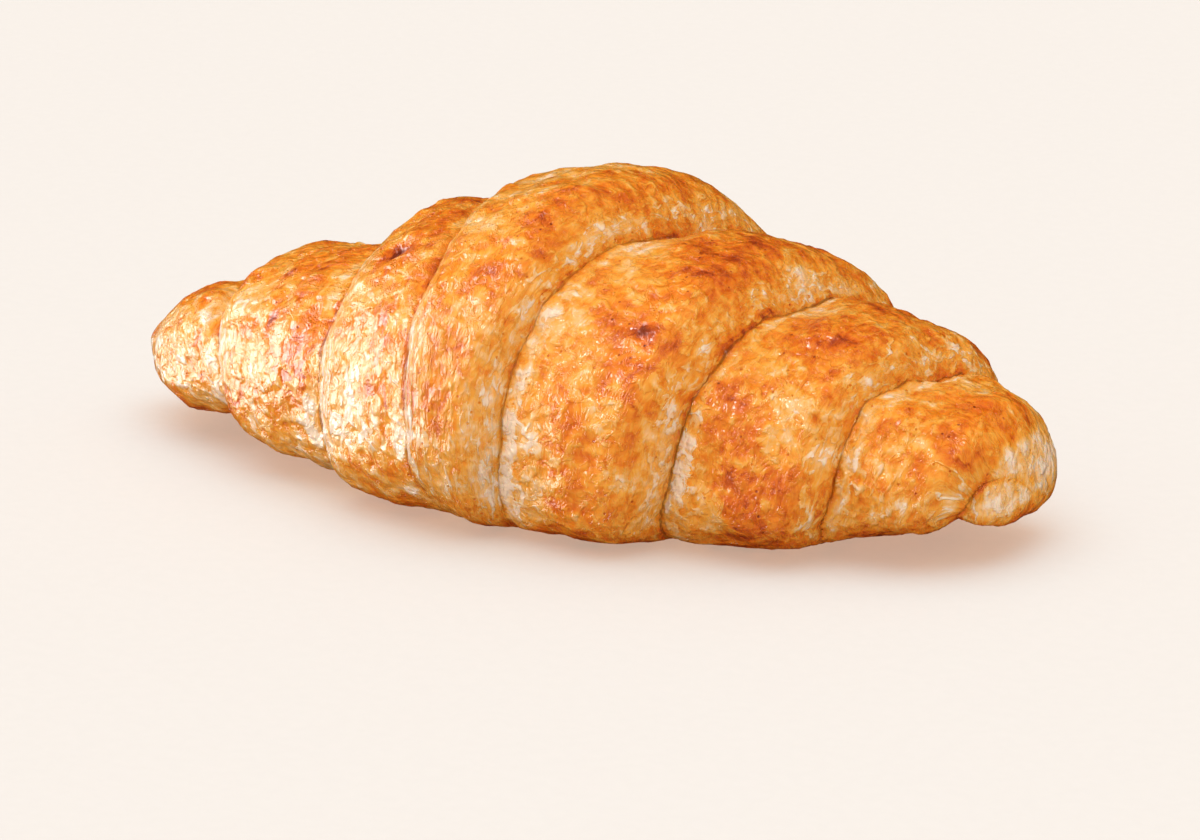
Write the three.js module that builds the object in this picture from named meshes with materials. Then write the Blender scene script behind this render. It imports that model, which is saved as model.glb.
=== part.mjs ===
// A whole baked croissant: one solid of rolled, laminated dough.
//
// A triangle of dough is rolled up from its base, so the outermost turn is the narrow one in the
// middle, and each turn below it reaches further out. Both edges of the triangle are therefore
// spirals, and they show as the stepped lips that cross the back of a croissant.
//
// The long axis is X, with the blunt tip at +X. The face that the photograph shows is at -Y.
// Z is up, and the flat baked underside rests on Z = 0. All sizes are in millimetres.

import * as THREE from "three";

// Driving dimensions
const LEFT_REACH = 84; // from the middle of the outermost turn to the left tip
const RIGHT_REACH = 75.7; // and to the right tip
const RIDGE_HEIGHTS = [18.4, 26.5, 32, 38.6, 46.4, 49, 46.3, 41.5, 34.6, 29, 20.7]; // left to right
const RIDGE_SHARES = [-1, -0.8, -0.6, -0.4, -0.2, 0, 0.2, 0.4, 0.6, 0.8, 1]; // of each reach
const UNDERSIDE_HEIGHTS = [7.7, 3.5, 2.7, -2.4, -5, 0.1, 3.2, 3.2]; // below 0 is pressed flat by the tray
const UNDERSIDE_SHARES = [-1, -0.85, -0.65, -0.4, 0.4, 0.65, 0.85, 1];
const HALF_WIDTH_MIDDLE = 0.86; // half the width over the height, in the middle
const HALF_WIDTH_TIP = 0.83; // and at the tips, which are nearly round
const WIDEST_AT = 0.38; // share of the height at which the loaf is widest
const LEFT_TIP_ROUNDING = 22.5; // length over which the slender tip closes
const RIGHT_TIP_ROUNDING = 6; // and the blunt one
const FLOOR_ROUNDING = 3; // radius of the turn from the flat base into the sides

// Where the edge of the dough lies, from the middle, at each number of turns from its point.
// A half turn is the top of the back, and a quarter turn is the front.
const EDGE_TURNS = [0, 0.25, 0.45, 0.6, 1.5, 2.5, 3.1, 3.5, 4.5];
const RIGHT_EDGE = [2.4, 5.2, 9.5, 14, 35.9, 57.4, 66.8, 79, 95];
const LEFT_EDGE = [4, 9.4, 16.4, 24.4, 35.2, 64.1, 76.5, 85, 99];
const PASSES = 4; // times that each edge goes round

// How deep the lip at the edge steps down at each of these turns, and over what length it rolls.
const LIP_TURNS = [0.25, 0.45, 0.6, 1.5, 2.5, 3.1, 3.5];
const RIGHT_LIPS = [5, 5.2, 9.8, 6, 4.9, 5.4, 2];
const LEFT_LIPS = [4, 4.4, 5, 4.6, 5.4, 0.5, 0.3];
const RIGHT_ROUNDINGS = [6, 7, 9, 7.8, 5.8, 5, 5];
const LEFT_ROUNDINGS = [5, 5, 5, 7, 5.8, 5, 5];
const LEFT_FRONT_EASE = 0.5; // share of a left lip's depth that is stretched away at the front
const FOOT_SHARE = 1; // share of the next turn over which its surface climbs back
const POINT_FADE = 0.3; // turns over which the lip grows from the point of the dough
const UNDER_LIP = 0.25; // share of a lip's depth left on the flattened underside
const EDGE_WAVE = 0.6; // how far the edge wanders sideways
const LUMPS = 0.45; // height of the gentle unevenness of the crust

// Mesh
const ROUND = 88; // facets round the loaf
const RINGS = 66; // rings from tip to tip
const RING_PULL = 0.8; // how strongly rings gather at a lip
const RING_PULL_WIDTH = 4;

const FULL_TURN = 2 * Math.PI;

// A smooth curve through the values at the stations.
function through(stations, values, at) {
  const last = stations.length - 1;
  const x = Math.min(Math.max(at, stations[0]), stations[last]);
  let i = 0;
  while (i < last - 1 && x > stations[i + 1]) i += 1;
  const slope = (k) => {
    const a = Math.max(k - 1, 0);
    const b = Math.min(k + 1, last);
    return (values[b] - values[a]) / (stations[b] - stations[a]);
  };
  const h = stations[i + 1] - stations[i];
  const t = (x - stations[i]) / h;
  const rise = t * t * (3 - 2 * t);
  const leave = slope(i) * h * t * (1 - t) * (1 - t);
  const arrive = slope(i + 1) * h * t * t * (1 - t);
  return values[i] + (values[i + 1] - values[i]) * rise + leave - arrive;
}

// The side of the loaf, right or left, with its own reach, tip, edge spiral and lips.
const leftSide = {
  sign: -1,
  reach: LEFT_REACH,
  tip: LEFT_TIP_ROUNDING,
  edge: LEFT_EDGE,
  lips: LEFT_LIPS,
  roundings: LEFT_ROUNDINGS,
  frontEase: LEFT_FRONT_EASE,
};
const rightSide = {
  sign: 1,
  reach: RIGHT_REACH,
  tip: RIGHT_TIP_ROUNDING,
  edge: RIGHT_EDGE,
  lips: RIGHT_LIPS,
  roundings: RIGHT_ROUNDINGS,
  frontEase: 0,
};

function sideOf(x) {
  return x < 0 ? leftSide : rightSide;
}

// Distance of the dough's edge from the middle after so many turns.
function edgeAt(side, turns) {
  const wave = EDGE_WAVE * Math.sin(FULL_TURN * 2.3 * turns + side.sign) * Math.min(turns, 1);
  return through(EDGE_TURNS, side.edge, turns) + wave;
}

// Depth of the lip there. It grows from nothing at the point of the dough.
function lipAt(side, turns) {
  return through(LIP_TURNS, side.lips, turns) * Math.min(turns / POINT_FADE, 1);
}

// Turns from the point of the dough to the outermost pass at this angle. The angle is 0 at the
// top and grows towards the front.
function firstPass(angle) {
  return 0.5 - angle / FULL_TURN;
}

// How far the crust lies below the loaf's outline because of the lips.
function lipDepth(x, angle) {
  const side = sideOf(x);
  const out = Math.abs(x);
  let depth = 0;
  for (let pass = 0; pass < PASSES; pass += 1) {
    const turns = firstPass(angle) + pass;
    const edge = edgeAt(side, turns);
    const beyond = out - edge;
    if (beyond < 0) {
      const rounding = through(LIP_TURNS, side.roundings, turns);
      const u = Math.max(1 + beyond / rounding, 0);
      depth = Math.max(depth, lipAt(side, turns) * (1 - Math.cos((u * Math.PI) / 2)));
    } else {
      const spacing = edgeAt(side, turns + 1) - edge;
      const v = Math.min(beyond / (FOOT_SHARE * spacing), 1);
      depth = Math.max(depth, lipAt(side, turns) * (1 - v) * (1 - v));
    }
  }
  return depth;
}

// Gentle unevenness of the baked crust.
function lumpsAt(x, angle) {
  const broad = Math.sin(0.17 * x + 2 * angle + 0.4) + Math.sin(0.26 * x - 3 * angle + 1.9);
  const close = Math.sin(0.43 * x + 5 * angle) * Math.cos(0.31 * x - 4 * angle);
  return LUMPS * (broad + 0.7 * close);
}

// Signed power, for the rounded-square sections.
function power(value, exponent) {
  return Math.sign(value) * Math.abs(value) ** exponent;
}

// Presses what would reach below the tray flat, with a rounded turn into the sides.
function pressed(z) {
  if (z > FLOOR_ROUNDING) return z;
  if (z < -FLOOR_ROUNDING) return 0;
  return (z + FLOOR_ROUNDING) ** 2 / (4 * FLOOR_ROUNDING);
}

// The point of the crust at a distance along the loaf and an angle round it.
function crustPoint(x, angle) {
  const { reach, tip, frontEase } = sideOf(x);
  const share = x / reach;
  const ridge = through(RIDGE_SHARES, RIDGE_HEIGHTS, share);
  const under = through(UNDERSIDE_SHARES, UNDERSIDE_HEIGHTS, share);
  const height = ridge - Math.max(under, 0);
  const slimming = (HALF_WIDTH_TIP - HALF_WIDTH_MIDDLE) * share * share;
  const halfWidth = height * (HALF_WIDTH_MIDDLE + slimming);
  const centre = Math.max(under, 0) + WIDEST_AT * height;
  const closing = Math.max((Math.abs(x) - (reach - tip)) / tip, 0);
  const cap = Math.sqrt(Math.max(1 - closing ** 2.3, 0));

  const up = Math.cos(angle);
  const front = halfWidth * power(Math.sin(angle), 0.93);
  const rise = up >= 0 ? (ridge - centre) * power(up, 0.93) : (centre - under) * power(up, 0.71);

  const offTray = Math.min(Math.max(1 - Math.max(under, 0) / 3, 0), 1);
  const keptUnder = 1 - (1 - UNDER_LIP) * Math.max(-up, 0) * offTray;
  const kept = keptUnder * (1 - frontEase * Math.max(Math.sin(angle), 0) ** 2);
  const inward = lipDepth(x, angle) * cap * kept - lumpsAt(x, angle);
  const scale = 1 - inward / Math.max(Math.hypot(front, rise), 1);
  return new THREE.Vector3(x, -front * scale * cap, pressed(centre + rise * scale * cap));
}

// Rings are even in the middle, close up at the tips, and gather where the dough's edge lies.
function ringPlace(share, angle) {
  const even = 1.25 * share - 0.25 * share ** 5;
  const { reach, tip } = sideOf(share);
  const x = even * reach;
  const room = reach - Math.abs(x);
  const ease = Math.min(room / tip, 1);
  let moved = 0;
  for (const side of [leftSide, rightSide]) {
    for (let pass = 0; pass < PASSES; pass += 1) {
      const edge = side.sign * edgeAt(side, firstPass(angle) + pass);
      const off = x - edge;
      moved -= RING_PULL * off * Math.exp(-((off / RING_PULL_WIDTH) ** 2));
    }
  }
  return x + moved * ease;
}

// A sphere whose poles are the two tips, drawn out into the loaf.
function croissantGeometry() {
  const geometry = new THREE.SphereGeometry(1, ROUND, RINGS);
  const place = geometry.getAttribute("position");
  for (let i = 0; i < place.count; i += 1) {
    const pole = Math.min(Math.max(place.getY(i), -1), 1);
    const share = 1 - (2 * Math.acos(pole)) / Math.PI;
    let angle = Math.atan2(-place.getZ(i), place.getX(i));
    if (angle < -Math.PI + 1e-6) angle = Math.PI;
    const point = crustPoint(ringPlace(share, angle), angle);
    place.setXYZ(i, point.x, point.y, point.z);
  }
  return geometry;
}

// Sets the origin under the middle of the loaf, on the plane it rests on.
function centreOnBase(geometry) {
  geometry.computeBoundingBox();
  const box = geometry.boundingBox;
  geometry.translate(-(box.min.x + box.max.x) / 2, -(box.min.y + box.max.y) / 2, -box.min.z);
  return geometry;
}

const goldenCrust = new THREE.MeshStandardMaterial({
  name: "golden_crust",
  color: new THREE.Color(0.72, 0.42, 0.16),
  roughness: 0.42,
  metalness: 0,
});

const croissant = new THREE.Mesh(centreOnBase(croissantGeometry()), goldenCrust);
croissant.name = "croissant";

const part = new THREE.Group();
part.add(croissant);

export default part;
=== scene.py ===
# %% [markdown]
# # A whole butter croissant
#
# This lesson gives a packed croissant its baked looks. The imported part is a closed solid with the
# right size and the right bands, but its facets are coarse. Here the same roll is made again as a
# fine mesh, in the same place, with the ragged lips, wrinkles, flakes and blisters of a real crust,
# and it gets a material that is browned, glazed and stretched pale where the dough opened.
#
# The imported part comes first, because everything else is placed by it.

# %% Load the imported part
import math

import bmesh
import bpy
import numpy as np
from mathutils import Matrix, Vector, noise


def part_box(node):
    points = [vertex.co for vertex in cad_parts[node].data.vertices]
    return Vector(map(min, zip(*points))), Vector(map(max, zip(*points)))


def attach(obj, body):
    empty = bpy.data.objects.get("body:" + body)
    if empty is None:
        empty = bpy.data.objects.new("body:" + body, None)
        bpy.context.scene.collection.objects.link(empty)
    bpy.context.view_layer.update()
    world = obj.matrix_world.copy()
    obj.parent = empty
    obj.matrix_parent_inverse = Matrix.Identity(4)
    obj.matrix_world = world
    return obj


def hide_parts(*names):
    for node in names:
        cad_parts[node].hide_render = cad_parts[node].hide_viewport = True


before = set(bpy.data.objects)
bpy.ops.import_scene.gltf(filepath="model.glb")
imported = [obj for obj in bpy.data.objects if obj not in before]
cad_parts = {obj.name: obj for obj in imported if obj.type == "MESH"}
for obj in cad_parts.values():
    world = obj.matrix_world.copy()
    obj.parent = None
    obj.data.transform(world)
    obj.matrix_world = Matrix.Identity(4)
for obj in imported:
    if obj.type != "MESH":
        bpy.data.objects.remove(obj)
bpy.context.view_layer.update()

MM = 0.001
low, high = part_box("croissant")
print("packed croissant, mm:", [round(side / MM, 1) for side in high - low])

# %% [markdown]
# ## Camera
#
# The camera stands to the right of the front and looks a little down, from fairly far away with a
# long lens, as a product photographer does. A long lens keeps the near tip from swelling. It aims
# low on the front, because the croissant lies above the middle of the frame.

# %% Camera
SENSOR_WIDTH = 36.0
LENS = 164.2
CAMERA_TURN = math.radians(31.0)
CAMERA_RISE = math.radians(16.3)
CAMERA_AWAY = 850 * MM
AIM = Vector((6.25, -2.9, 11.1)) * MM

camera_right = Vector((math.cos(CAMERA_TURN), math.sin(CAMERA_TURN), 0))
camera_back = Vector(
    (
        math.sin(CAMERA_TURN) * math.cos(CAMERA_RISE),
        -math.cos(CAMERA_TURN) * math.cos(CAMERA_RISE),
        math.sin(CAMERA_RISE),
    )
)
camera_up = camera_back.cross(camera_right)

camera_data = bpy.data.cameras.new("camera")
camera_data.lens = LENS
camera_data.sensor_width = SENSOR_WIDTH
camera = bpy.data.objects.new("camera", camera_data)
camera.matrix_world = Matrix.Translation(AIM + CAMERA_AWAY * camera_back) @ Matrix(
    (camera_right, camera_up, camera_back)
).transposed().to_4x4()
bpy.context.scene.collection.objects.link(camera)
bpy.context.scene.camera = camera
print("camera at, mm:", [round(c / MM) for c in camera.matrix_world.translation])

# %% [markdown]
# ## Materials, the short way
#
# A material is a graph of small nodes. Writing each node and each wire by hand makes long code, so
# this small helper adds a node, plugs in what it is given and hands back its output. A plain number
# goes into the socket itself, and another node's output is wired to it.


# %% A small helper for node graphs
def srgb(red, green, blue):
    """A colour picked on a screen, 0 to 255, as the linear colour that Blender wants."""
    shares = [channel / 255 for channel in (red, green, blue)]
    return tuple(s / 12.92 if s <= 0.04045 else ((s + 0.055) / 1.055) ** 2.4 for s in shares) + (1,)


class Recipe:
    """A material and short ways to add nodes to it."""

    def __init__(self, name):
        self.material = bpy.data.materials.new(name)
        self.material.use_nodes = True
        self.tree = self.material.node_tree
        self.tree.nodes.clear()

    def add(self, kind, inputs=None, output=0, **settings):
        """Adds a node and returns one of its outputs, or nothing where it has none."""
        node = self.tree.nodes.new(kind)
        for key, value in settings.items():
            setattr(node, key, value)
        for key, value in (inputs or {}).items():
            if isinstance(value, bpy.types.NodeSocket):
                self.tree.links.new(value, node.inputs[key])
            else:
                node.inputs[key].default_value = value
        return node.outputs[output] if node.outputs else None

    def math(self, operation, first, second=0.0):
        return self.add("ShaderNodeMath", {0: first, 1: second}, operation=operation)

    def weigh(self, start, parts):
        """The start, with each part added times its weight."""
        for part, weight in parts:
            start = self.math("ADD", start, self.math("MULTIPLY", part, weight))
        return start

    def remap(self, value, low_end, high_end, to_low=0.0, to_high=1.0):
        """A smooth step from to_low to to_high as the value goes from low_end to high_end."""
        ends = {"From Min": low_end, "From Max": high_end, "To Min": to_low, "To Max": to_high}
        return self.add("ShaderNodeMapRange", {"Value": value, **ends}, interpolation_type="SMOOTHSTEP")

    def stretch(self, vector, scale):
        return self.add("ShaderNodeMapping", {"Vector": vector, "Scale": scale})

    def noise(self, vector, detail, scale=1.0, rough=0.5, distortion=0.0):
        """Cloudy noise round a half."""
        fields = {"Scale": scale, "Detail": detail, "Roughness": rough, "Distortion": distortion}
        return self.add("ShaderNodeTexNoise", {"Vector": vector, **fields})

    def centred(self, noise_value):
        """The same noise, round zero."""
        return self.math("SUBTRACT", noise_value, 0.5)

    def threads(self, noise_value, wide, narrow):
        """Thin threads, drawn where a noise crosses its middle."""
        return self.remap(self.math("ABSOLUTE", self.centred(noise_value)), wide, narrow)

    def spots(self, vector, scale, output=0):
        """Scattered spots: output 0 is the distance to the nearest, and 1 its own random colour."""
        fields = {"Vector": vector, "Scale": scale, "Randomness": 1.0}
        return self.add("ShaderNodeTexVoronoi", fields, output=output)

    def attribute(self, name, output="Fac"):
        return self.add("ShaderNodeAttribute", attribute_name=name, output=output)

    def ramp(self, value, stops):
        node = self.tree.nodes.new("ShaderNodeValToRGB")
        self.tree.links.new(value, node.inputs["Fac"])
        ramp = node.color_ramp
        while len(ramp.elements) < len(stops):
            ramp.elements.new(0.5)
        for element, (place, colour) in zip(ramp.elements, stops):
            element.position = place
            element.color = colour
        return node.outputs["Color"]

    def mix(self, share, first, second):
        """Mixes two colours. The colour sockets of a Mix node are numbers 6 and 7, and output 2."""
        colours = {0: share, 6: first, 7: second}
        return self.add("ShaderNodeMix", colours, output=2, data_type="RGBA")

    def bump(self, height, strength, distance):
        fields = {"Height": height, "Strength": strength, "Distance": distance}
        return self.add("ShaderNodeBump", fields)

    def finish(self, surface):
        self.add("ShaderNodeOutputMaterial", {"Surface": surface})
        return self.material


print("middle grey of a screen as linear light:", round(srgb(128, 128, 128)[0], 3))

# %% [markdown]
# ## Table
#
# The croissant lies on a plain, warm white table that runs on past the edges of the picture, so one
# large sheet is both floor and background. It isn't mirrored in the glaze, because a pale floor
# turns the lower half of a glazed crust milky.

# %% Table
TABLE_HALF = 4.0
TABLE_COLOUR = srgb(181, 175, 169)
TABLE_GRAIN_COLOUR = srgb(180, 174, 168)
TABLE_GRAIN_SCALE = 420


def table_finish():
    recipe = Recipe("table_paper")
    place = recipe.add("ShaderNodeTexCoord", output="Object")
    grain = recipe.noise(place, scale=TABLE_GRAIN_SCALE, detail=3, rough=0.55)
    colour = recipe.mix(recipe.remap(grain, 0.3, 0.7), TABLE_COLOUR, TABLE_GRAIN_COLOUR)
    surface = recipe.add(
        "ShaderNodeBsdfPrincipled",
        {
            "Base Color": colour,
            "Roughness": 0.9,
            "Specular IOR Level": 0.1,
            "Normal": recipe.bump(grain, 0.15, 0.0002),
        },
    )
    return recipe.finish(surface)


table_mesh = bpy.data.meshes.new("table")
sheet = bmesh.new()
bmesh.ops.create_grid(sheet, x_segments=8, y_segments=8, size=TABLE_HALF)
sheet.to_mesh(table_mesh)
sheet.free()
table_mesh.materials.append(table_finish())
table = bpy.data.objects.new("table", table_mesh)
bpy.context.scene.collection.objects.link(table)
table.visible_glossy = False
print("table is", 2 * TABLE_HALF, "m square")

# %% [markdown]
# ## Light
#
# Near lamps would leave a bright patch on the table, so every lamp is a sun with a wide disc. Such a
# sun lights evenly and still gives soft shadows. A pale sky fills in the rest.
#
# In a studio, black flags keep one lamp off the food and another off the table. Light linking does
# the same here. Five suns reach only the crust. The glaze mirrors two of them: a low one on the left
# makes a speckled band of white, and a small one in front makes the glints on the shoulders.
#
# Two more suns reach only the table. Bread throws warm light back into its own shadow, so the warm
# one casts no shadow and the blue-green one does. Where the second is blocked, the first is left,
# and the shadow is soft and warm.

# %% Sky
SKY_STRENGTH = 0.7
SKY_COLOUR = srgb(255, 250, 244)

sky = bpy.data.worlds.new("pale_sky")
sky.use_nodes = True
background = sky.node_tree.nodes["Background"]
background.inputs["Color"].default_value = SKY_COLOUR
background.inputs["Strength"].default_value = SKY_STRENGTH
sky.cycles_visibility.glossy = False
bpy.context.scene.world = sky
bpy.context.scene.view_settings.view_transform = "Standard"
print("sky strength:", SKY_STRENGTH)


# %% Lamps
def soft_sun(name, turn, rise, width, strength, colour=(1, 1, 1), mirrored=False):
    """A sun seen as a disc so many degrees wide. Its turn is 0 in front and grows to the right."""
    lamp = bpy.data.lights.new(name, "SUN")
    lamp.angle = math.radians(width)
    lamp.energy = strength
    lamp.color = colour
    turn, rise = math.radians(turn), math.radians(rise)
    towards = Vector((math.sin(turn) * math.cos(rise), -math.cos(turn) * math.cos(rise), math.sin(rise)))
    sun = bpy.data.objects.new(name, lamp)
    sun.matrix_world = towards.to_track_quat("Z", "Y").to_matrix().to_4x4()
    sun.visible_glossy = mirrored
    bpy.context.scene.collection.objects.link(sun)
    return sun


crust_lamps = (
    soft_sun("left_sun", turn=-45, rise=35, width=60, strength=0.95),
    soft_sun("glint_sun", turn=-80, rise=4, width=54, strength=2.5, mirrored=True),
    soft_sun("window_sun", turn=-20, rise=58, width=16, strength=0.4, mirrored=True),
    soft_sun("right_sun", turn=75, rise=38, width=80, strength=0.6),
    soft_sun("high_sun", turn=125, rise=70, width=90, strength=0.95, colour=(1.0, 0.98, 0.95)),
)
table_glow = soft_sun("table_glow", turn=0, rise=89, width=90, strength=4.43, colour=(1.0, 0.79, 0.65))
table_glow.data.use_shadow = False
table_sun = soft_sun("table_sun", turn=0, rise=80, width=70, strength=1.82, colour=(0.02, 0.59, 1.0))

only_crust = bpy.data.collections.new("only_crust")
for lamp in crust_lamps:
    lamp.light_linking.receiver_collection = only_crust
only_table = bpy.data.collections.new("only_table")
only_table.objects.link(table)
table_sun.light_linking.receiver_collection = only_table
table_glow.light_linking.receiver_collection = only_table

# %% [markdown]
# ## The roll, as a formula
#
# A baker cuts a long triangle of dough and rolls it up from its base. Both long edges of the
# triangle then run round the roll as spirals, and each crossing of an edge is a lip that steps down
# towards the tip. The roll could be sculpted, but then each lip would be placed by hand. Written as
# a formula, the two spirals give every lip at once, round the back and underneath too.
#
# A point on the crust is given by its distance along the roll from the middle, and by its angle, which
# is 0 on top and grows towards the front. All lengths here are in millimetres.

# %% Curves through a few values
def through(stations, values, at):
    """A smooth curve through the values at the stations, for a whole array of places at once."""
    stations = np.asarray(stations, float)
    values = np.asarray(values, float)
    last = len(stations) - 1
    x = np.clip(at, stations[0], stations[-1])
    i = np.clip(np.searchsorted(stations, x) - 1, 0, last - 1)
    before = np.maximum(np.arange(last + 1) - 1, 0)
    after = np.minimum(np.arange(last + 1) + 1, last)
    slopes = (values[after] - values[before]) / (stations[after] - stations[before])
    h = stations[i + 1] - stations[i]
    t = (x - stations[i]) / h
    rise = t * t * (3 - 2 * t)
    leave = slopes[i] * h * t * (1 - t) ** 2
    arrive = slopes[i + 1] * h * t * t * (1 - t)
    return values[i] + (values[i + 1] - values[i]) * rise + leave - arrive


def smoothstep(low_end, high_end, value):
    t = np.clip((value - low_end) / (high_end - low_end), 0, 1)
    return t * t * (3 - 2 * t)


def power(value, exponent):
    """A power that keeps the sign, for rounded-square sections."""
    return np.sign(value) * np.abs(value) ** exponent


print("a smooth step, a third of the way along:", round(float(smoothstep(0, 1, 1 / 3)), 2))

# %% The roll's outline
LEFT_REACH = 84
RIGHT_REACH = 75.7
RIDGE_SHARES = (-1, -0.8, -0.6, -0.4, -0.2, 0, 0.2, 0.4, 0.6, 0.8, 1)
RIDGE_HEIGHTS = (18.4, 26.5, 32, 38.6, 46.4, 49, 46.3, 41.5, 34.6, 29, 20.7)
UNDERSIDE_SHARES = (-1, -0.85, -0.65, -0.4, 0.4, 0.65, 0.85, 1)
UNDERSIDE_HEIGHTS = (7.7, 3.5, 2.7, -2.4, -5, 0.1, 3.2, 3.2)
HALF_WIDTH_MIDDLE = 0.86
HALF_WIDTH_TIP = 0.83
WIDEST_AT = 0.38
LEFT_TIP_ROUNDING = 22.5
RIGHT_TIP_ROUNDING = 6
TIP_CLOSING = 2.3
FLOOR_ROUNDING = 3


def reach_at(x):
    return np.where(x < 0, LEFT_REACH, RIGHT_REACH)


def tip_rounding_at(x):
    return np.where(x < 0, LEFT_TIP_ROUNDING, RIGHT_TIP_ROUNDING)


def outline_at(x):
    """Ridge height, underside height, half width, height of the widest line and tip closing."""
    share = x / reach_at(x)
    ridge = through(RIDGE_SHARES, RIDGE_HEIGHTS, share)
    under = through(UNDERSIDE_SHARES, UNDERSIDE_HEIGHTS, share)
    height = ridge - np.maximum(under, 0)
    half_width = height * (HALF_WIDTH_MIDDLE + (HALF_WIDTH_TIP - HALF_WIDTH_MIDDLE) * share**2)
    centre = np.maximum(under, 0) + WIDEST_AT * height
    closing = np.maximum(1 - (reach_at(x) - np.abs(x)) / tip_rounding_at(x), 0)
    cap = np.sqrt(np.maximum(1 - closing**TIP_CLOSING, 0))
    return ridge, under, half_width, centre, cap


print("the roll reaches", LEFT_REACH, "mm left and", RIGHT_REACH, "mm right of its middle")

# %% The spiral edges of the dough
EDGE_TURNS = (0, 0.25, 0.45, 0.6, 1.5, 2.5, 3.1, 3.5, 4.5)
RIGHT_EDGE = (2.4, 5.2, 9.5, 14, 35.9, 57.4, 66.8, 79, 95)
LEFT_EDGE = (4, 9.4, 16.4, 24.4, 35.2, 64.1, 76.5, 85, 99)
LIP_TURNS = (0.25, 0.45, 0.6, 1.5, 2.5, 3.1, 3.5)
RIGHT_LIPS = (5, 5.2, 9.8, 6, 4.9, 5.4, 2)
LEFT_LIPS = (4, 4.4, 5, 4.6, 5.4, 0.5, 0.3)
RIGHT_ROUNDINGS = (6, 7, 9, 7.8, 5.8, 5, 5)
LEFT_ROUNDINGS = (5, 5, 5, 7, 5.8, 5, 5)
LEFT_FRONT_EASE = 0.5
PASSES = 4
POINT_FADE = 0.3
EDGE_WAVE = 0.6
EDGE_WAVES_A_TURN = 2.3
EDGE_RAGS = 0.55
COARSE_RAGS_A_TURN = 9
FINE_RAGS_A_TURN = 31
FULL_TURN = 2 * math.pi


def noise_line(values, row):
    """Smooth noise along one number, -1 to 1. Each row is another line through the same noise."""
    return np.array([noise.noise((v, row, 0.5)) for v in values])


def for_side(right, stations, right_values, left_values, turns):
    """A smooth curve through one side's values, each point by its own side."""
    return np.where(right, through(stations, right_values, turns), through(stations, left_values, turns))


def edge_at(right, turns):
    """Distance of the dough's edge from the middle after so many turns, on each point's side."""
    start = np.where(right, 1, -1)
    wave = EDGE_WAVE * np.sin(FULL_TURN * EDGE_WAVES_A_TURN * turns + start) * np.minimum(turns, 1)
    return for_side(right, EDGE_TURNS, RIGHT_EDGE, LEFT_EDGE, turns) + wave


def rags_at(right, turns):
    """How far the torn edge of the dough strays from its steady spiral."""
    row = np.where(right, 3.1, 7.7)
    coarse = np.array([noise.noise((COARSE_RAGS_A_TURN * t, r, 0)) for t, r in zip(turns, row)])
    fine = np.array([noise.noise((FINE_RAGS_A_TURN * t, r, 4)) for t, r in zip(turns, row)])
    return EDGE_RAGS * (coarse + 0.5 * fine)


def lip_at(right, turns):
    """How deep the lip steps down. It fades towards the point of the dough."""
    steady = for_side(right, LIP_TURNS, RIGHT_LIPS, LEFT_LIPS, turns)
    return steady * np.minimum(turns / POINT_FADE, 1)


def rounding_at(right, turns):
    """Over what length the lip rolls over."""
    return for_side(right, LIP_TURNS, RIGHT_ROUNDINGS, LEFT_ROUNDINGS, turns)


def first_pass(angle):
    """Turns from the point of the dough to the outermost pass at this angle."""
    return 0.5 - angle / FULL_TURN


print("deepest lips, right and left, mm:", max(RIGHT_LIPS), max(LEFT_LIPS))

# %% [markdown]
# ## The fine mesh
#
# The mesh starts as a sphere with its two poles at the tips of the roll, because a closed sphere
# has no seam and no hole to mend. Each ring of the sphere becomes a section of the croissant. The
# rings are drawn towards the lips, so that each lip has many small faces and stays crisp.

# %% A sphere laid along the roll
AROUND = 330
RINGS = 292

ball = bmesh.new()
bmesh.ops.create_uvsphere(ball, u_segments=AROUND, v_segments=RINGS, radius=1)
crust_mesh = bpy.data.meshes.new("crust")
ball.to_mesh(crust_mesh)
ball.free()

sphere = np.empty(len(crust_mesh.vertices) * 3)
crust_mesh.vertices.foreach_get("co", sphere)
sphere = sphere.reshape(-1, 3)
share = 1 - 2 * np.arccos(np.clip(sphere[:, 2], -1, 1)) / math.pi
angle = np.arctan2(sphere[:, 1], sphere[:, 0])
# Underneath, where half a turn back meets half a turn forward, the angle is always the second.
angle = np.where(angle < -math.pi + 1e-6, math.pi, angle)
print("the sphere has", len(share), "points")


# %% Rings drawn to the lips
RING_PULL = 0.62
RING_PULL_WIDTH = 4.5
TIP_CROWDING = 0.25


def ring_places(share, angle):
    """The place of each point along the roll, with more rings at the tips and at the lips."""
    x = ((1 + TIP_CROWDING) * share - TIP_CROWDING * share**5) * reach_at(share)
    room = reach_at(share) - np.abs(x)
    moved = np.zeros_like(x)
    for right in (False, True):
        for turn in range(PASSES):
            edge = edge_at(right, first_pass(angle) + turn) * (1 if right else -1)
            off = x - edge
            moved -= RING_PULL * off * np.exp(-((off / RING_PULL_WIDTH) ** 2))
    return x + moved * np.clip(room / tip_rounding_at(share), 0, 1)


along = ring_places(share, angle)
right_side = along >= 0
out = np.abs(along)
print("mean ring spacing, mm:", round(float(np.ptp(along)) / RINGS, 2))

# %% [markdown]
# ## Which turn of dough is on top
#
# The crust is one sheet that passes over itself. For each point this step works out how far it is
# from the lip that overhangs it on the middle side, its foot distance, and how far from its own lip
# on the tip side. It also gives each point a place on the flat sheet of dough: turns along the
# roll and a place across the band. Wrinkles and streaks follow these, because a real crust wrinkles
# and stretches along the way it was rolled.

# %% Distances to the lips
FAR = 30.0
FULL_LIP = 5

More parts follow.
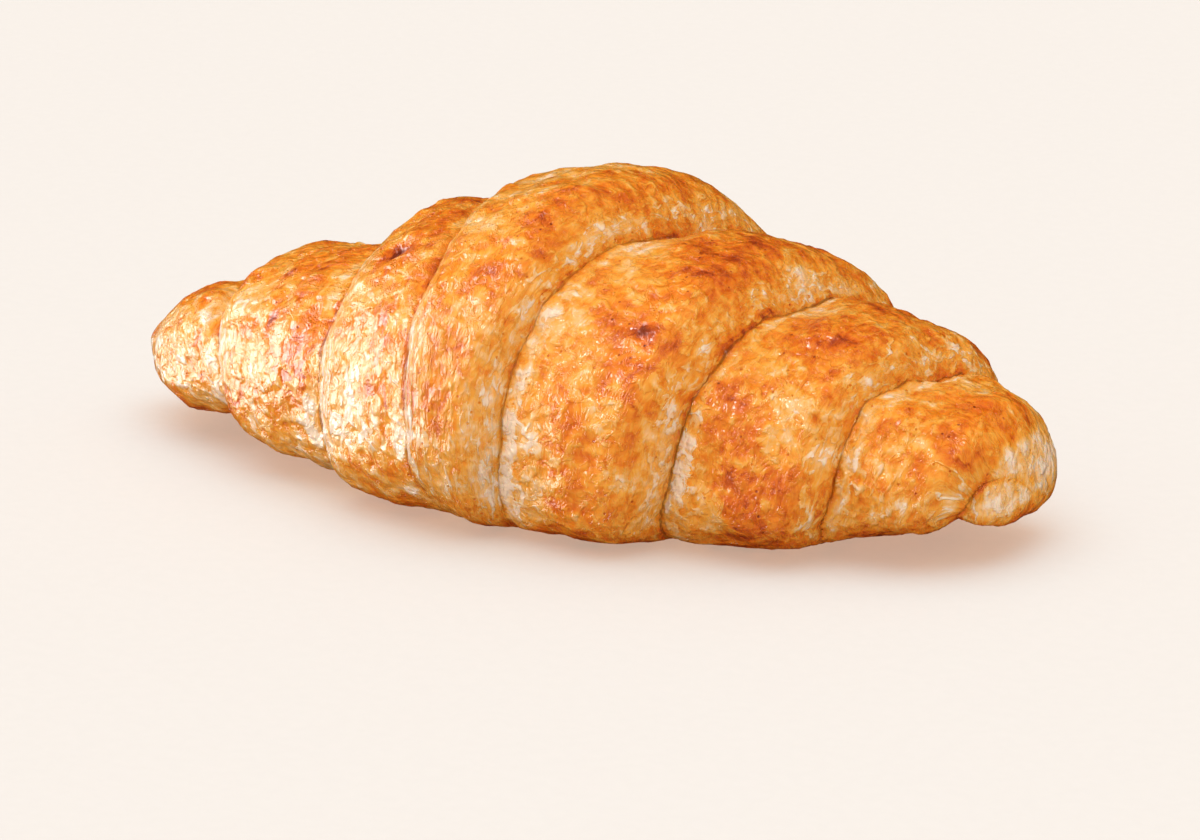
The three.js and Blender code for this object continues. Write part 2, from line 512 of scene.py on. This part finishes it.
step_depth = np.zeros_like(out)
shoulder = np.zeros_like(out)
foot = np.full_like(out, FAR)
lip = np.full_like(out, FAR)
passes_under = np.zeros_like(out)
fallen = np.zeros_like(out)
band_start = np.zeros_like(out)
band_end = np.full_like(out, np.inf)
for turn in range(PASSES + 1):
    turns = first_pass(angle) + turn
    edge = edge_at(right_side, turns) + rags_at(right_side, turns)
    beyond = out - edge
    depth = lip_at(right_side, turns) if turn < PASSES else np.zeros_like(out)
    spacing = edge_at(right_side, turns + 1) - edge
    climb = np.clip(1 - beyond / spacing, 0, 1)
    roll_over = np.clip(1 + beyond / rounding_at(right_side, turns), 0, 1)
    inside = beyond < 0
    fall = np.where(inside, 1 - np.cos(roll_over * math.pi / 2), climb**2)
    step_depth = np.maximum(step_depth, depth * fall)
    fallen = np.maximum(fallen, np.where(inside, depth * fall, 0))
    shoulder = np.maximum(shoulder, np.where(inside, np.sin(roll_over * math.pi) * depth / FULL_LIP, 0))
    passed = ~inside
    passes_under += passed
    band_start = np.where(passed, edge, band_start)
    foot = np.where(passed, np.minimum(foot, beyond), foot)
    lip = np.where(inside, np.minimum(lip, -beyond), lip)
    band_end = np.where(inside, np.minimum(band_end, edge), band_end)
print("bands on the right:", int(passes_under[right_side].max()) + 1)

# %% Place on the flat sheet
BAND_WIDTH = 18.0
MIDDLE_WIDTH = 1.2 * BAND_WIDTH
NARROWEST_BAND = 4

sheet_turns = first_pass(angle) + passes_under
across = np.clip((out - band_start) / np.maximum(band_end - band_start, NARROWEST_BAND), 0, 1)
left_edge = edge_at(False, first_pass(angle))
right_edge = edge_at(True, first_pass(angle))
middle_across = (along + left_edge) / np.maximum(left_edge + right_edge, NARROWEST_BAND) - 0.5
sign = np.where(right_side, 1.0, -1.0)
outer_place = sign * (MIDDLE_WIDTH / 2 + BAND_WIDTH * across)
sheet_across = np.where(passes_under > 0, outer_place, MIDDLE_WIDTH * middle_across)
print("from the point of the dough to the tips, turns:", round(float(sheet_turns.max()), 1))

# %% [markdown]
# ## Relief of the crust
#
# A baked crust is uneven at every size. Broad swellings come from gas under the dough, wrinkles run
# along the roll, thin glazed flakes lift with ragged rims, and small blisters dot the surface. The
# relief below is real geometry, so it also shows on the outline. Only what is finer than half a
# millimetre is left to the material.

# %% Noise on many points
def noise_on(points, octaves=1):
    """Smooth noise for each point, -1 to 1, with finer noise added for each further octave."""
    if octaves == 1:
        return np.array([noise.noise(p) for p in points])
    return np.array([noise.fractal(p, 0.9, 2.1, octaves) for p in points])


print("noise at one place:", noise_on([(0.3, 0.6, 0.2)]).round(2))

# %% Sections before any relief
FRONT_ROUNDNESS = 0.93
BELOW_ROUNDNESS = 0.71

ridge, under, half_width, centre, cap = outline_at(along)
faces_up = np.cos(angle) >= 0
up_roundness = np.where(faces_up, FRONT_ROUNDNESS, BELOW_ROUNDNESS)
front_size = half_width * power(np.sin(angle), FRONT_ROUNDNESS)
rise_size = np.where(faces_up, ridge - centre, centre - under) * power(np.cos(angle), up_roundness)
radius = np.maximum(np.hypot(front_size, rise_size), 1)
solid_place = np.stack([along, -front_size * cap, rise_size * cap], 1)
print("widest section before any relief, mm:", round(2 * float(half_width.max()), 1))


# %% Places on the dough, in the sizes of a feature
TIP_BLEND = (1, 8)
TIP_PLACE = 20


def on_dough(around_size, across_size, start):
    """Places for noise that is longer round the roll than across it, as wrinkles are.

    The bands end close to a tip, so there the place comes from the distance to the tip.
    """
    to_tip = reach_at(along) - out
    on_bands = smoothstep(*TIP_BLEND, to_tip)
    sheet = on_bands * (sheet_across + sign * fallen) + (1 - on_bands) * sign * (TIP_PLACE - to_tip)
    round_place = [-front_size * cap / around_size + start, rise_size * cap / around_size]
    return np.stack([sheet / across_size, *round_place], 1)


sheet_places = on_dough(1, 1, 0)[:, 0]
print("the sheet runs across, mm:", sheet_places.min().round(1), "to", sheet_places.max().round(1))

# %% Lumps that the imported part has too
LUMPS = 0.45
CLOSE_LUMPS = 0.7
BROAD_WAVES = (
    # radians for each mm along, waves for each turn round, start
    (0.17, 2, 0.4),
    (0.26, -3, 1.9),
)
CLOSE_WAVES = (
    # radians for each mm along, waves for each turn round
    (0.43, 5),
    (0.31, -4),
)

broad = sum(np.sin(a_mm * along + a_turn * angle + start) for a_mm, a_turn, start in BROAD_WAVES)
(a_mm, a_turn), (other_a_mm, other_a_turn) = CLOSE_WAVES
close = np.sin(a_mm * along + a_turn * angle) * np.cos(other_a_mm * along + other_a_turn * angle)
lumps = LUMPS * (broad + CLOSE_LUMPS * close)
print("lumps, mm:", lumps.min().round(2), "to", lumps.max().round(2))

# %% Close to a seam
LAST_FOLD_START = RIGHT_REACH - 5
LAST_FOLD_FULL = RIGHT_REACH - 3
LAST_FOLD_CALM = 0.85
SEAM_FOOT_SIDE = 5
SEAM_LIP_SIDE = 4

# The last fold, at the right tip, is smoother, so the wrinkles of the seams are calmed there.
on_last_fold = smoothstep(LAST_FOLD_START, LAST_FOLD_FULL, along)
near_seam = np.maximum(np.exp(-foot / SEAM_FOOT_SIDE), np.exp(-lip / SEAM_LIP_SIDE))
near_seam *= 1 - LAST_FOLD_CALM * on_last_fold
print("points close to a seam:", int((near_seam > 0.5).sum()))

# %% Relief, in mm
SWELLINGS = 0.45
SWELLING_SIZE = 9.0
DENTS = 0.32
DENT_SIZE = 3.2
WRINKLES = 0.06
SEAM_WRINKLES = 0.24
WRINKLE_LENGTH = 9
WRINKLE_WIDTH = 1.3
FLAKES = 0.14
FLAKE_LENGTH = 6.5
FLAKE_WIDTH = 3.4
FLAKE_RIM = (0.1, 0.2)
BLISTERS = 0.55
BLISTER_SIZE = 1.9
BLISTER_SHARE = 0.34

swellings = SWELLINGS * noise_on(solid_place / SWELLING_SIZE, 2)
dents = DENTS * noise_on(solid_place / DENT_SIZE + 11, 3)
wrinkles = WRINKLES + SEAM_WRINKLES * near_seam
wrinkles *= noise_on(on_dough(WRINKLE_LENGTH, WRINKLE_WIDTH, 2.0), 2)
flakes = FLAKES * smoothstep(*FLAKE_RIM, noise_on(on_dough(FLAKE_LENGTH, FLAKE_WIDTH, 5.0), 3))
blisters = BLISTERS * np.maximum(noise_on(solid_place / BLISTER_SIZE + 31) - BLISTER_SHARE, 0)
relief = swellings + dents + wrinkles + flakes + blisters
print("relief runs from", round(float(relief.min()), 2), "to", round(float(relief.max()), 2), "mm")

# %% [markdown]
# ## Marks of its own
#
# A few marks on this croissant are its own: a burnt dimple, a reddish bubble, some dark flecks. Each
# is given by its place on the roll, its size, how far it stands up, and how dark it baked. A texture
# painted by hand could hold them too, but a short list says what each one is.

# %% Dimples, bubbles and flecks
MARK_RAGS = 0.35
MARK_RAG_SIZE = 1.4
MARKS = (
    # along mm, angle in degrees, radius mm, height mm, darkness
    (-24.0, 33, 1.9, -1.2, 1.4),
    (25.2, 49, 1.9, 0.7, 0.95),
    (-46.3, 54, 1.3, -0.3, 0.6),
    (-46.6, 46, 1.0, -0.2, 0.5),
    (-45.3, 39, 0.7, -0.2, 0.5),
    (-39.9, 59, 0.6, -0.2, 0.5),
    (-63.0, 34, 1.2, 0.3, -0.4),
    (70.2, 58, 1.7, 0.2, 0.4),
    (72.6, 46, 1.2, 0.2, 0.4),
    (62.5, 66, 5.5, 0.0, -0.38),
)
mark_rise = np.zeros_like(out)
mark_dark = np.zeros_like(out)
wobble = 1 + MARK_RAGS * noise_on(solid_place / MARK_RAG_SIZE)
for mark_along, mark_angle, size, height, darkness in MARKS:
    turn_off = (angle - math.radians(mark_angle)) * radius
    far = np.hypot(along - mark_along, turn_off) / size
    spread = np.exp(-((far * wobble) ** 2))
    mark_rise += height * spread
    mark_dark += darkness * spread
print("marks:", len(MARKS))

# %% [markdown]
# ## From formula to mesh
#
# The lips are pushed out over the valley below them, which a height alone can't do, and the valley
# itself gets a narrow crease. Then each point goes to its place, what would be below the tray is
# pressed flat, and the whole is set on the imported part's own box.

# %% How far the crust steps in
CREASE = 0.15
CREASE_WIDTH = 0.7
CREASE_FULL_STEP = 4
CREASE_CHANGES_A_TURN = 14
UNDER_LIP = 0.25
TRAY_GAP = 3

seam_distance = np.minimum(foot, lip)
on_tray = np.clip(1 - np.maximum(under, 0) / TRAY_GAP, 0, 1)
kept = 1 - (1 - UNDER_LIP) * np.maximum(-np.cos(angle), 0) * on_tray
kept *= np.where(right_side, 1, 1 - LEFT_FRONT_EASE * np.maximum(np.sin(angle), 0) ** 2)
crease = CREASE * np.exp(-((seam_distance / CREASE_WIDTH) ** 2))
crease *= np.minimum(step_depth / CREASE_FULL_STEP, 1)
crease *= 0.7 + 0.6 * noise_line(sheet_turns * CREASE_CHANGES_A_TURN, 1.7)
inward = (step_depth + crease) * cap * kept - lumps - (relief + mark_rise) * np.minimum(cap, 1)
print("deepest step, mm:", inward.max().round(2))

# %% Put the points in place
OVERHANG = 0.8
OVERHANG_FADE = 9
OVERHANG_CHANGES_A_TURN = 9

uneven = 1 + 0.5 * noise_line(sheet_turns * OVERHANG_CHANGES_A_TURN, 5.2)
tip_fade = np.clip((reach_at(along) - out) / OVERHANG_FADE, 0, 1)
scale = 1 - inward / radius
x = along + sign * OVERHANG * shoulder * uneven * kept * tip_fade
y = -front_size * scale * cap
z = centre + rise_size * scale * cap
pressed = np.where(z < -FLOOR_ROUNDING, 0, (z + FLOOR_ROUNDING) ** 2 / (4 * FLOOR_ROUNDING))
z = np.where(z > FLOOR_ROUNDING, z, pressed)

place = np.stack([x, y, z], 1)
box_middle = (np.array(low) + np.array(high)) / 2 / MM
fine_middle = (place.min(0) + place.max(0)) / 2
shift = np.array([box_middle[0] - fine_middle[0], box_middle[1] - fine_middle[1], -place[:, 2].min()])
place = (place + shift) * MM
crust_mesh.vertices.foreach_set("co", place.ravel())
crust_mesh.update()
print("moved onto the packed box by, mm:", shift.round(2))

# %% Close, turn outward and smooth
fine = bmesh.new()
fine.from_mesh(crust_mesh)
bmesh.ops.recalc_face_normals(fine, faces=fine.faces)
for face in fine.faces:
    face.smooth = True
open_edges = sum(edge.is_boundary for edge in fine.edges)
print("volume, cm3:", round(fine.calc_volume() * 1e6, 1), "open edges:", open_edges)
fine.to_mesh(crust_mesh)
fine.free()

# %% [markdown]
# ## How far each place is baked
#
# An oven browns what stands proud and faces up, and the tray browns what lies on it. A thin brown rim
# is painted along each valley as painted shade. A texture could be painted by hand, but an oven follows
# the shape, so the browning and that shade are worked out from the shape and stored on the mesh, where
# the material reads them.

# %% Browning by the oven, and painted shade in the valleys
BAKE_LEVEL = 0.47
TOP_BROWNING = 0.06
TRAY_BROWNING = 0.2
PATCHES = 0.15
PATCH_SIZE = 16
PROUD_BROWNING = 0.1
VALLEY_PAINTED_SHADE = 0.25
VALLEY_WIDTH = 0.9
MARK_BROWNING = 0.5
FULL_STEP = 3
TOP_FACING = (0.2, 1.0)
TRAY_FACING = (0.55, 0.95)
PROUD_LIMIT = 1.5

normals = np.empty(len(crust_mesh.vertices) * 3)
crust_mesh.vertices.foreach_get("normal", normals)
faces_right, faces_back, faces_top = normals.reshape(-1, 3).T

full_step = np.minimum(step_depth / FULL_STEP, 1)
# Painted shade: a thin brown rim along each valley, where the crevice lies in shade.
valley = np.exp(-((seam_distance / VALLEY_WIDTH) ** 2)) * full_step
bake_and_shade = BAKE_LEVEL + VALLEY_PAINTED_SHADE * valley + TOP_BROWNING * smoothstep(*TOP_FACING, faces_top)
bake_and_shade += PATCHES * noise_on(solid_place / PATCH_SIZE + 5, 2)
bake_and_shade += PROUD_BROWNING * np.clip(relief + lumps, -PROUD_LIMIT, PROUD_LIMIT)
bake_and_shade += TRAY_BROWNING * smoothstep(*TRAY_FACING, -faces_top) + MARK_BROWNING * mark_dark
print("bake level from", round(float(bake_and_shade.min()), 2), "to", round(float(bake_and_shade.max()), 2))

# %% [markdown]
# The right tip ends in the last fold of the roll. A brown line runs round it where the fold starts,
# the side of the fold below the line stayed pale, and its lowest rim is brown again.

# %% The last fold at the right tip
FOLD_LINE = 18.6
FOLD_LINE_DROP = 6.6
FOLD_LINE_FRONT = (6, 12)
FOLD_LINE_RAGS = 0.9
FOLD_LINE_RAG_SIZE = 2.2
FOLD_LINE_BLUR = (-0.6, 0.8)
FOLD_LINE_WIDTH = 1.6
FOLD_LINE_BROWNING = 0.1
FOLD_PALENESS = 0.22
FOLD_RIM = (6, 11)
RIM_BROWNING = 0.14
RIM_TOP = (11, 7)

fold_line = FOLD_LINE - FOLD_LINE_DROP * smoothstep(*FOLD_LINE_FRONT, -y)
fold_line += FOLD_LINE_RAGS * noise_on(solid_place / FOLD_LINE_RAG_SIZE + 3)
below_line = fold_line - z
pale_fold = smoothstep(*FOLD_LINE_BLUR, below_line) * smoothstep(*FOLD_RIM, z)
brown_line = np.exp(-((below_line / FOLD_LINE_WIDTH) ** 2))
bake_and_shade += FOLD_LINE_BROWNING * on_last_fold * brown_line - FOLD_PALENESS * on_last_fold * pale_fold
bake_and_shade += RIM_BROWNING * on_last_fold * smoothstep(*RIM_TOP, z)
print("points on the last fold:", int((on_last_fold > 0.5).sum()))

# %% [markdown]
# ## Bands, strips and the painted highlight side
#
# Beside each lip lies dough that was covered by the lip and came into view as the croissant swelled,
# so it has no glaze and stays cream. The lip itself has a narrow pale strip. On the right, the two
# bands next to the middle one browned most. The sides that face left, towards the strongest lamps,
# get a painted highlight: more and paler chips, paler bare dough, and a little more bump.

# %% Browning across each band
BAND_BROWNING = 0.06
NEXT_BAND_BROWNING = 0.14
BAND_MIDDLE = (0.15, 0.55)
MIDDLE_SIDE_PALENESS = 0.04
LIP_STRIP = (1.5, 5.5)
RIGHT_STRIP_PALENESS = 0.17
LEFT_STRIP_PALENESS = 0.03

next_to_middle = (passes_under == 1) | (passes_under == 2)
band_browning = np.where(next_to_middle, NEXT_BAND_BROWNING, BAND_BROWNING)
lip_strip = (1 - smoothstep(*LIP_STRIP, lip)) * full_step
right_browning = band_browning * smoothstep(*BAND_MIDDLE, across) - MIDDLE_SIDE_PALENESS
right_browning -= RIGHT_STRIP_PALENESS * lip_strip
bake_and_shade += np.where(right_side, right_browning, -LEFT_STRIP_PALENESS * lip_strip)
print("points on lip strips:", int((lip_strip > 0.5).sum()))

# %% Dough without glaze
RIGHT_FOOT_WIDTH = 4.0
LEFT_FOOT_WIDTH = 4.6
FOOT_CHANGES_A_TURN = 8
FOOT_BLUR = (0.55, 1.0)
RIGHT_LIP_PALENESS = 0.45
LEFT_LIP_PALENESS = 0.95
LEFT_LIP_STRIP = (0.8, 3.2)
LAST_FOLD_GLAZE = 0.7

foot_width = np.where(right_side, RIGHT_FOOT_WIDTH, LEFT_FOOT_WIDTH)
foot_width = foot_width * (1 + 0.35 * noise_line(sheet_turns * FOOT_CHANGES_A_TURN, 8.8))
foot_paleness = 1 - smoothstep(*FOOT_BLUR, foot / foot_width)
right_lip_paleness = RIGHT_LIP_PALENESS * (1 - smoothstep(*LIP_STRIP, lip))
left_lip_paleness = LEFT_LIP_PALENESS * (1 - smoothstep(*LEFT_LIP_STRIP, lip))
lip_paleness = np.where(right_side, right_lip_paleness, left_lip_paleness)
pale = np.clip(np.maximum(foot_paleness, lip_paleness), 0, 1) * np.minimum(step_depth + 0.5, 1)
pale *= 1 - LAST_FOLD_GLAZE * on_last_fold
print("points without glaze:", int((pale > 0.5).sum()))

# %% The painted highlight side
LEFT_COUNTS = 0.9
FRONT_COUNTS = 0.4
HIGHLIGHT_FACING = (0.1, 0.75)
HIGHLIGHT_BELOW_TOP = (0.55, 0.1)
HIGHLIGHT_ABOVE_TRAY = (-0.6, 0.0)

# Painted highlight: this marks the sides that face left and a little to the front, below the top and
# above the tray, and the crust is painted paler there.
facing = -LEFT_COUNTS * faces_right - FRONT_COUNTS * faces_back
painted_highlight_side = smoothstep(*HIGHLIGHT_FACING, facing) * smoothstep(*HIGHLIGHT_BELOW_TOP, faces_top)
painted_highlight_side *= smoothstep(*HIGHLIGHT_ABOVE_TRAY, faces_top)
print("points on the dry side:", int((painted_highlight_side > 0.5).sum()))


# %% Store what the crust material needs
def store(name, kind, field, values):
    """Keeps one value for each point on the mesh, under a name that the material reads."""
    data = crust_mesh.attributes.new(name, kind, "POINT").data
    data.foreach_set(field, np.asarray(values, float).ravel())


store("bake_and_shade", "FLOAT", "value", bake_and_shade)
store("pale", "FLOAT", "value", pale)
store("seam", "FLOAT", "value", near_seam)
store("painted_highlight_side", "FLOAT", "value", painted_highlight_side)
store("dough", "FLOAT_VECTOR", "vector", on_dough(1, 1, 0))
print("stored on the mesh:", [a.name for a in crust_mesh.attributes if a.domain == "POINT"])

# %% [markdown]
# ## Crust material
#
# The colour comes from one scale that runs from raw cream through gold to deep amber. Everything
# that changes the colour only moves a point along that scale, so the hues always stay those of
# baking. The finest relief is bump, and a hard coat is the egg glaze, which mirrors the lamps on each
# small bump and is duller where it burnt.
#
# The layers are made one by one: glaze that has chipped off, thin threads of torn dough, beads of
# glaze and pores, and the bare dough beside the lips.

# %% The scale from raw to burnt
BAKE_SCALE = (
    (0.00, srgb(253, 222, 192)),
    (0.18, srgb(250, 192, 122)),
    (0.36, srgb(248, 168, 58)),
    (0.54, srgb(240, 136, 22)),
    (0.72, srgb(222, 102, 10)),
    (0.88, srgb(174, 64, 6)),
    (1.00, srgb(122, 40, 10)),
)
print("shades on the baking scale:", len(BAKE_SCALE))


# %% Chipped glaze
CHIP_STRETCH = (0.62, 0.4, 0.4)
CHIP_ROOM = (0.6, 0.42)
CHIP_EDGE = (0.55, 0.575)
CHIP_RIM = (0.48, 0.62)
HIGHLIGHT_CHIPPING = 0.05


def chipped_glaze(recipe, dough, mottling, painted_highlight_side):
    """The noise that tears the glaze, where it has chipped off, and how far its rims lift."""
    tear = recipe.noise(recipe.stretch(dough, CHIP_STRETCH), detail=3, rough=0.55, distortion=0.6)
    # The painted highlight side gets more chips, which are pale.
    worn = recipe.weigh(tear, [(painted_highlight_side, HIGHLIGHT_CHIPPING)])
    room = recipe.math("MAXIMUM", recipe.remap(mottling, *CHIP_ROOM), painted_highlight_side)
    chips = recipe.math("MULTIPLY", recipe.remap(worn, *CHIP_EDGE), room)
    return tear, chips, recipe.remap(worn, *CHIP_RIM)


# %% Threads of torn dough
STRAND_STRETCH = (0.8, 0.22, 0.22)
STRAND_WIDTH = (0.06, 0.015)
CURLS_A_MM = 0.75
CURL_WIDTH = (0.07, 0.02)
CURL_ROOM = (0.45, 0.6)


def strands_and_curls(recipe, dough, solid, blotches):
    """Straight threads along the dough, and curled ones in the browner blotches."""
    strand_field = recipe.noise(recipe.stretch(dough, STRAND_STRETCH), detail=2, distortion=1.2)
    strands = recipe.threads(strand_field, *STRAND_WIDTH)
    curl_field = recipe.noise(solid, scale=CURLS_A_MM, detail=2, distortion=1.6)
    curls = recipe.threads(curl_field, *CURL_WIDTH)
    return strands, recipe.math("MULTIPLY", curls, recipe.remap(blotches, *CURL_ROOM))


# %% Beads of glaze, and pores
BEADS_A_MM = 0.7
BEAD_EDGE = (0.26, 0.08)
BEAD_LOT = (0.5, 0.55)
PORES_A_MM = 0.42
PORE_EDGE = (0.11, 0.05)


def beads_and_pores(recipe, solid):
    """Half of the scattered spots carry a bead. Every pore is a dark pinhole."""
    bead_shapes = recipe.remap(recipe.spots(solid, BEADS_A_MM), *BEAD_EDGE)
    bead_lots = recipe.remap(recipe.spots(solid, BEADS_A_MM, output=1), *BEAD_LOT)
    pores = recipe.remap(recipe.spots(solid, PORES_A_MM), *PORE_EDGE)
    return recipe.math("MULTIPLY", bead_shapes, bead_lots), pores


# %% Bare dough beside the lips
TORN_RIM = 3.0
BARE_EDGE = (0.5, 0.58)
BARE_NEAR = (0.05, 0.3)


def bare_dough(recipe, paleness, tear):
    """Where the dough has no glaze, with the rim of the glaze torn."""
    torn = recipe.math("MULTIPLY", recipe.centred(tear), TORN_RIM)
    cover = recipe.remap(recipe.math("ADD", paleness, torn), *BARE_EDGE)
    return recipe.math("MULTIPLY", cover, recipe.remap(paleness, *BARE_NEAR))


# %% The crust, all layers together
SKIN_STRETCH = (0.62, 0.45, 0.45)
STREAK_STRETCH = (1.0, 0.1, 0.1)
CRUST_ROUGHNESS = (0.3, 0.45)
GLAZE = 0.7
BURNT_GLAZE = 0.15
BURNT = (0.8, 1.0)


def crust_finish():
    recipe = Recipe("golden_crust")
    solid = recipe.stretch(recipe.add("ShaderNodeTexCoord", output="Object"), (1 / MM, 1 / MM, 1 / MM))
    dough = recipe.attribute("dough", "Vector")
    seam = recipe.attribute("seam")
    painted_highlight_side = recipe.attribute("painted_highlight_side")

    mottling = recipe.noise(solid, scale=0.13, detail=3, rough=0.55)
    blotches = recipe.noise(solid, scale=0.42, detail=3, distortion=0.5)
    specks = recipe.noise(solid, scale=1.1, detail=2)
    skin = recipe.noise(recipe.stretch(dough, SKIN_STRETCH), detail=1.2, rough=0.38, distortion=0.4)
    streaks = recipe.noise(recipe.stretch(dough, STREAK_STRETCH), detail=2, distortion=0.4)
    tear, chips, chip_rims = chipped_glaze(recipe, dough, mottling, painted_highlight_side)
    strands, curls = strands_and_curls(recipe, dough, solid, blotches)
    beads, pores = beads_and_pores(recipe, solid)
    bare = bare_dough(recipe, recipe.attribute("pale"), tear)

    # Browning moves the level up the scale, and bare or chipped places move it down.
    # Skin and specks are bumps as well: where they lift the crust it is painted paler, and their hollows
    # are painted darker, as painted highlight and painted shade on the crust's own relief.
    clouds = ((mottling, 0.85), (blotches, 0.8), (streaks, 0.2), (specks, -0.15), (skin, -0.4))
    level = recipe.weigh(recipe.attribute("bake_and_shade"), [(recipe.centred(part), w) for part, w in clouds])
    # Chips and bare dough are painted paler still on the sides that face left, as a painted highlight.
    chip_paleness = recipe.weigh(-0.14, [(painted_highlight_side, -0.22)])
    bare_paleness = recipe.weigh(-0.14, [(painted_highlight_side, -0.2)])
    covers = (
        (chips, chip_paleness),
        (strands, -0.07),
        (curls, -0.09),
        # Beads are raised, and also painted a little paler as a painted highlight on each bead.
        (beads, -0.08),
        (pores, 0.26),
        (bare, bare_paleness),
    )
    level = recipe.weigh(level, covers)

    # The heights are in mm.
    streak_height = recipe.weigh(0.05, [(seam, 0.3)])
    skin_height = recipe.weigh(0.85, [(painted_highlight_side, 0.3)])
    reliefs = (
        (skin, skin_height),
        (chip_rims, 0.16),
        (strands, 0.04),
        (curls, 0.05),
        (beads, 0.14),
        (pores, -0.2),
        (specks, 0.12),
    )
    height = recipe.weigh(recipe.math("MULTIPLY", streaks, streak_height), reliefs)
    normal = recipe.bump(height, 1.0, MM)

    surface = recipe.add(
        "ShaderNodeBsdfPrincipled",
        {
            "Base Color": recipe.ramp(level, BAKE_SCALE),
            "Roughness": recipe.remap(specks, 0.35, 0.65, *CRUST_ROUGHNESS),
            "Specular IOR Level": 0.45,
            "Coat Weight": recipe.remap(level, *BURNT, GLAZE, BURNT_GLAZE),
            "Coat Roughness": 0.08,
            "Coat IOR": 2.3,
            "Subsurface Weight": 0.2,
            "Subsurface Radius": (1.0, 0.35, 0.12),
            "Subsurface Scale": 2 * MM,
            "Normal": normal,
            "Coat Normal": normal,
        },
    )
    return recipe.finish(surface)


crust_mesh.materials.append(crust_finish())
croissant = bpy.data.objects.new("croissant_crust", crust_mesh)
bpy.context.scene.collection.objects.link(croissant)
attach(croissant, "root")
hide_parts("croissant")
only_crust.objects.link(croissant)
print("triangles:", 2 * AROUND * (RINGS - 1), "nodes:", len(crust_mesh.materials[0].node_tree.nodes))
